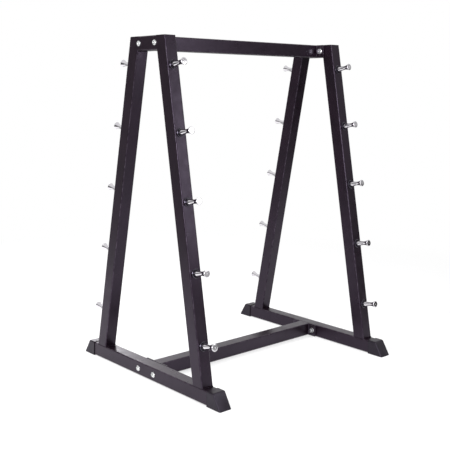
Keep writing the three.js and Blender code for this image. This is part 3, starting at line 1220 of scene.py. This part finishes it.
@dataclass
class BarHolder(Assembly):
    """A bar holder: a chrome hourglass spool in a black cup washer."""

    side: Side
    face: Face
    index: int
    waist_radius: float = 0.009
    base_radius: float = 0.0132
    end_radius: float = 0.0157
    seat: float = 0.0046
    base_height: float = 0.0094
    base_edge: float = 0.0005
    inner_taper: float = 0.0275
    outer_taper: float = 0.026
    rim: float = 0.0025
    end_round: Span = (0.0045, 0.0022)
    centre_mark: tuple[Span, ...] = ((0.0022, 0.0), (0.0008, 0.0010), (0.0002, 0.0011))
    stud_radius: float = 0.005
    stud_reach: float = 0.015
    stud_point: float = 0.0008
    cup_floor: float = 0.004
    cup_height: float = 0.009
    cup_edge: float = 0.0009
    collar_wall: float = 0.0038
    flange_width: float = 0.0025
    flange_thickness: float = 0.003
    flange_bevel: Span = (0.0021, 0.0018)
    flange_edge: float = 0.0003
    bevel_lead: float = 0.0004
    # How much painted shade dims the cup's shine.
    cup_shelter: float = 0.62
    spool_crease: float = 30.0
    cup_crease: float = 50.0
    flare_rings: int = 19
    edge_rings: int = 10
    spool_columns: int = 72
    cup_columns: int = 60

    def placing(self) -> Placing:
        """Where the holder stands: zero on the leg's outer face, Z square out of the leg.

        Returns:
            Its origin and axes.
        """
        s = self.sizes
        drop = s.holder_drops()[self.index]
        sign = self.face.value
        sine, cosine = math.sin(s.lean), math.cos(s.lean)
        depth = sign * (s.top_half_depth + drop * sine)
        outward = (0.0, sign * cosine, sine)
        across = (-float(sign), 0.0, 0.0)
        origin = (self.side.value * s.pitch / 2, depth, s.height - drop * cosine)
        return Placing(origin, (across, tuple(np.cross(outward, across)), outward))

    def spool(self) -> Shell:
        """The chrome spool, from its stud to the middle of its end face.

        The hourglass is a hyperboloid on each side of its waist: radius^2 = waist^2 + spread share^2.

        Returns:
            The spool's surface.
        """
        waist = self.seat + self.base_height + self.inner_taper
        end = waist + self.outer_taper + self.rim

        def flare(end_radius: float, taper: float) -> Points:
            """The curve from the waist to one end."""
            share, spread = np.linspace(0.0, 1.0, self.flare_rings), end_radius**2 - self.waist_radius**2
            return stacked(np.sqrt(self.waist_radius**2 + spread * share**2), waist + taper * share)

        foot = [
            (self.stud_radius * 0.85, -self.stud_reach),
            (self.stud_radius, self.stud_point - self.stud_reach),
            (self.stud_radius, self.seat),
            (self.base_radius - self.base_edge, self.seat),
            (self.base_radius, self.seat + self.base_edge),
        ]
        inner = flare(self.base_radius, -self.inner_taper)[::-1]
        outer = flare(self.end_radius, self.outer_taper)[1:]
        inward, rise = self.end_round
        step, inset = quarter_round(1.0, self.edge_rings)
        edge = stacked(self.end_radius - inward * inset, end - rise * step)
        centre = [(radius, end - depth) for radius, depth in self.centre_mark]
        profile = np.concatenate([foot, inner, outer, edge, centre])
        return Shell(self.placing().carry(turned(profile, self.spool_columns)))

    def cup(self) -> Shell:
        """The cup washer: a flange on the leg, a collar, and a recess for the spool's base.

        It lies between spool and leg, and all of it but the bevel of its flange carries painted shade, so
        it mirrors less and the bevel's highlight stands out.

        Returns:
            The cup's surface.
        """
        low = self.sizes.fit_gap
        bore = self.stud_radius + low
        recess = self.base_radius + 2 * low
        collar = recess + self.collar_wall
        flange = collar + self.flange_width
        inward, drop = self.flange_bevel
        corners = [
            (bore, low),
            (flange, low),
            (flange, low + self.flange_thickness - drop),
            (flange - inward, low + self.flange_thickness),
            (collar, low + self.flange_thickness),
            (collar, low + self.cup_height),
            (recess, low + self.cup_height),
            (recess, low + self.cup_floor),
            (bore, low + self.cup_floor),
        ]
        rounding = [self.flange_edge] * 5 + [self.cup_edge] * 4
        profile = softened(corners, rounding, steps=4)
        radius, height = profile.T
        bevelled = (radius > flange - inward - self.bevel_lead) & (height > low + 2 * self.flange_edge)
        # Painted shade over the cup, all but the flange bevel.
        wear = np.where(bevelled, 0.0, self.cup_shelter * PAINTED_SHADE)[:, None]
        return Shell(self.placing().carry(turned(profile, self.cup_columns)), looped=True, wear=wear)

    def build(self) -> Iterator[Piece]:
        """Makes the spool and its cup, one after the other.

        Yields:
            Each piece.
        """
        place, number = f"{self.side.label}_{self.face.label}", self.index + 1
        spool, cup = f"{place}_spool_{number}", f"{place}_cup_{number}"
        yield self.shop.piece(spool, Slot.CHROME, [self.spool()], [spool], self.spool_crease)
        yield self.shop.piece(cup, Slot.CUP_PLASTIC, [self.cup()], [cup], self.cup_crease)


@dataclass(frozen=True)
class Lamp:
    """A softbox that looks at a point, with its power in watts.

    Shiny surfaces show it where it is mirrored.
    """

    name: str
    place: Place
    target: Place
    width: float
    height: float
    power: float
    mirrored: bool = True

    def build(self) -> None:
        """Makes the lamp."""
        data = bpy.data.lights.new(self.name, "AREA")
        data.shape = "RECTANGLE"
        data.size = self.width
        data.size_y = self.height
        data.energy = self.power
        lamp = bpy.data.objects.new(self.name, data)
        lamp.location = self.place
        lamp.visible_camera = False
        lamp.visible_glossy = self.mirrored
        facing = Vector(self.target) - Vector(self.place)
        lamp.rotation_euler = facing.to_track_quat("-Z", "Y").to_euler()
        bpy.context.scene.collection.objects.link(lamp)


@dataclass(frozen=True)
class DimSide:
    """A side of the room that mirrored rays see dimmer.

    Attributes:
        toward: The heading of its middle.
        turn: The cosines of the turn from its middle where it starts, and where it is dimmest.
        share: How bright it is there, as a share of the room.
        top: The heights of the heading between which it ends.
        reach: The distances from the rack between which it starts on the floor, if it does.
    """

    toward: Place
    turn: Span
    share: float
    top: Span = (0.12, 0.30)
    reach: Span | None = None

    def left(self, board: NodeBoard, heading: Socket, within: Socket) -> Socket:
        """The share of the light that is left along a heading, as far as it is within the side."""
        facing = board.fitted(board.along(heading, self.toward), *self.turn)
        return board.fitted(board.product(facing, within), 0.0, 1.0, 1.0, self.share)

    def in_room(self, board: NodeBoard, heading: Socket, height: Socket) -> Socket:
        """The share of the room's light that is left along a heading, and at its height."""
        return self.left(board, heading, board.fitted(height, *self.top, 1.0, 0.0))

    def on_floor(self, board: NodeBoard, heading: Socket, away: Socket) -> Socket:
        """The share of the floor's light that is left along a heading, and that far from the rack."""
        return self.left(board, heading, board.fitted(away, *self.reach))


@dataclass
class Studio:
    """The pale floor, the background, the lamps and the camera.

    The camera was worked out from the photograph's edges: its place, its three turns in radians, its
    focal length in picture widths, and the place of its axis in the picture, in picture widths.
    """

    camera_place: Place = (-2.5995, -2.6286, 1.2499)
    heading: float = 0.6825
    dip: float = 0.1200
    roll: float = 0.0052
    focal_share: float = 790.92 / 450
    axis_share: Span = (162.79 / 450, 185.95 / 450)
    sensor: float = 36.0
    floor_reach: float = 30.0
    floor_level: float = -0.0004
    floor_colour: Colour = (0.86, 0.855, 0.865)
    floor_toned: float = 0.985
    floor_clouds: Clouds = Clouds(3.0)
    white: Colour = (1.0, 1.0, 1.0)
    shadow_reach: Span = (1.0, 3.2)
    shadow_white: float = 0.55
    ambient: float = 0.50
    room: float = 0.47
    bright_floor: Span = (1.6, 4.0)
    # Painted shadow on the floor as mirrored rays see it, from the left frame on.
    shaded_edge: Span = (-0.60, -0.45)
    shaded_share: float = 0.66
    sweep_toward: Place = (0.50, 0.86, 0.0)
    sweep_turn: Span = (0.35, 0.85)
    sweep_top: Span = (0.25, 0.50)
    ceiling_start: Span = (0.30, 0.50)
    ceiling_share: float = 1.70
    dim_sides: tuple[DimSide, ...] = (
        DimSide((-0.50, 0.866, 0.0), (0.90, 0.985), 0.42),
        DimSide((-0.94, 0.342, 0.0), (0.93, 0.98), 0.16, reach=(1.8, 2.8)),
        DimSide((0.848, -0.530, 0.0), (0.965, 0.99), 0.10, top=(0.04, 0.13), reach=(1.8, 5.0)),
    )
    lamps: tuple[Lamp, ...] = (
        Lamp("overhead softbox", (0.1, -0.4, 3.4), (0.0, 0.0, 0.6), 2.6, 2.6, 70.0, mirrored=False),
        Lamp("front softbox", (0.80, -1.80, 1.34), (-0.52, -0.2, 0.95), 0.52, 1.24, 6.4),
        Lamp("rear softbox", (1.0, 3.6, 1.55), (-0.2, 0.0, 0.2), 1.6, 1.6, 44.0),
        Lamp("floor softbox", (-1.9, 1.6, 3.0), (-1.0, 0.9, 0.0), 0.8, 0.8, 115.0, mirrored=False),
        Lamp("camera side softbox", (-2.9, -3.2, 1.9), (0.0, 0.0, 0.8), 1.9, 1.9, 105.0),
    )

    def camera(self) -> None:
        """Makes the camera from its place, its turns and the place of its axis in the picture."""
        data = bpy.data.cameras.new("camera")
        data.sensor_width = self.sensor
        data.lens = self.sensor * self.focal_share
        data.shift_x = 0.5 - self.axis_share[0]
        data.shift_y = self.axis_share[1] - 0.5
        data.clip_end = 100.0
        camera = bpy.data.objects.new("camera", data)
        turn = Matrix.Rotation(-self.heading, 4, "Z") @ Matrix.Rotation(math.pi / 2 - self.dip, 4, "X")
        roll = Matrix.Rotation(self.roll, 4, "Z")
        camera.matrix_world = Matrix.Translation(self.camera_place) @ turn @ roll
        bpy.context.scene.collection.objects.link(camera)
        bpy.context.scene.camera = camera

    def floor_glow(self, board: NodeBoard, place: Socket, away: Socket) -> Socket:
        """How bright mirrored rays see the floor: white near the rack, and dimmer further out.

        A painted shadow makes it a little dimmer from the left frame on, and it is dimmer on the dim sides
        of the room.

        Args:
            board: Where the nodes stand.
            place: The place on the floor.
            away: Its distance from the rack's middle.

        Returns:
            The brightness, where white is one.
        """
        across = board.node("ShaderNodeSeparateXYZ", {"Vector": place}).outputs["X"]
        # Painted shadow of the rack on the floor, seen only in reflections.
        painted_shadow = board.fitted(across, *self.shaded_edge, 1.0, self.shaded_share)
        glow = board.product(board.fitted(away, *self.bright_floor, 1.0, self.room), painted_shadow)
        heading = board.node("ShaderNodeVectorMath", {0: place}, operation="NORMALIZE").outputs["Vector"]
        for side in self.dim_sides:
            if side.reach:
                glow = board.product(glow, side.on_floor(board, heading, away))
        return glow

    def floor(self) -> None:
        """The pale floor, which keeps the rack's shadow close to it and is white further out."""
        board = NodeBoard(bpy.data.materials.new("pale floor"))
        rough = board.noise(board.place(Space.OBJECT), self.floor_clouds)
        tint = board.blend(rough, self.floor_colour, tuple(self.floor_toned * c for c in self.floor_colour))
        matt = board.node("ShaderNodeBsdfDiffuse", {"Color": tint})
        place = board.node("ShaderNodeTexCoord").outputs["Object"]
        away = board.node("ShaderNodeVectorMath", {0: place}, operation="LENGTH").outputs["Value"]
        rays = board.node("ShaderNodeLightPath").outputs
        glow = board.chosen(rays["Is Glossy Ray"], 1.0, self.floor_glow(board, place, away))
        light = board.node("ShaderNodeEmission", {"Color": self.white, "Strength": glow})
        straight = board.larger(rays["Is Camera Ray"], rays["Is Transmission Ray"])
        seen = board.larger(straight, rays["Is Glossy Ray"])
        share = board.product(board.fitted(away, *self.shadow_reach, self.shadow_white, 1.0), seen)
        shaders = {0: share, 1: matt.outputs["BSDF"], 2: light.outputs["Emission"]}
        mixed = board.node("ShaderNodeMixShader", shaders).outputs["Shader"]
        mesh = bpy.data.meshes.new("floor")
        reach, z = self.floor_reach, self.floor_level
        corners = [(-reach, -reach, z), (reach, -reach, z), (reach, reach, z), (-reach, reach, z)]
        mesh.from_pydata(corners, [], [[0, 1, 2, 3]])
        mesh.materials.append(board.shown(mixed))
        floor = bpy.data.objects.new("floor", mesh)
        bpy.context.scene.collection.objects.link(floor)

    def background(self) -> None:
        """The background: white where it is seen, and an even soft light on the rack.

        Mirrored rays see the white sweep low down behind the rack, the dimmer room elsewhere, a pale
        ceiling, and its dim sides.
        """
        board = NodeBoard(bpy.data.worlds.new("background"))
        direction = board.node("ShaderNodeTexCoord").outputs["Generated"]
        height = board.node("ShaderNodeSeparateXYZ", {"Vector": direction}).outputs["Z"]
        low = board.fitted(height, *self.sweep_top, 1.0, 0.0)
        behind = board.fitted(board.along(direction, self.sweep_toward), *self.sweep_turn)
        sweep = board.fitted(board.product(low, behind), 0.0, 1.0, self.room, 1.0)
        sweep = board.product(sweep, board.fitted(height, *self.ceiling_start, 1.0, self.ceiling_share))
        for side in self.dim_sides:
            sweep = board.product(sweep, side.in_room(board, direction, height))
        rays = board.node("ShaderNodeLightPath").outputs
        seen = board.larger(rays["Is Camera Ray"], rays["Is Transmission Ray"])
        unseen = board.chosen(rays["Is Glossy Ray"], self.ambient, sweep)
        strength = board.chosen(seen, unseen, 1.0)
        light = board.node("ShaderNodeBackground", {"Color": self.white, "Strength": strength})
        bpy.context.scene.world = board.shown(light.outputs["Background"])

    def build(self) -> None:
        """Makes the whole studio."""
        bpy.context.scene.view_settings.view_transform = "Standard"
        self.camera()
        self.floor()
        self.background()
        for lamp in self.lamps:
            lamp.build()


def rack_parts(sizes: RackSizes, shop: FinishShop) -> Iterator[Assembly]:
    """Every sub-assembly of the rack, in the order in which it is put together.

    Args:
        sizes: The rack's shared measures.
        shop: Where the pieces get their finish.

    Yields:
        The sub-assemblies.
    """
    for side in Side:
        yield SideFrame(sizes, shop, side)
        for face in Face:
            yield Boot(sizes, shop, side, face)
    for level in Level:
        yield Crossbar(sizes, shop, level)
        for side in Side:
            for face in Face:
                yield FrameBolt(sizes, shop, side, level, face)
    for side in Side:
        for face in Face:
            for index in range(sizes.holders_per_leg):
                yield BarHolder(sizes, shop, side, face, index)


def main() -> None:
    """Builds the rack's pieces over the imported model, then the studio round them."""
    logging.basicConfig(level=logging.INFO, format="%(name)s: %(message)s")
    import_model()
    shop = FinishShop()
    for part in rack_parts(RackSizes(), shop):
        for piece in part.build():
            LOG.info("%s: %d faces, %s", piece.name, len(piece.data.polygons), piece["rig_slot"])
    Studio().build()


if __name__ == "__main__":
    main()
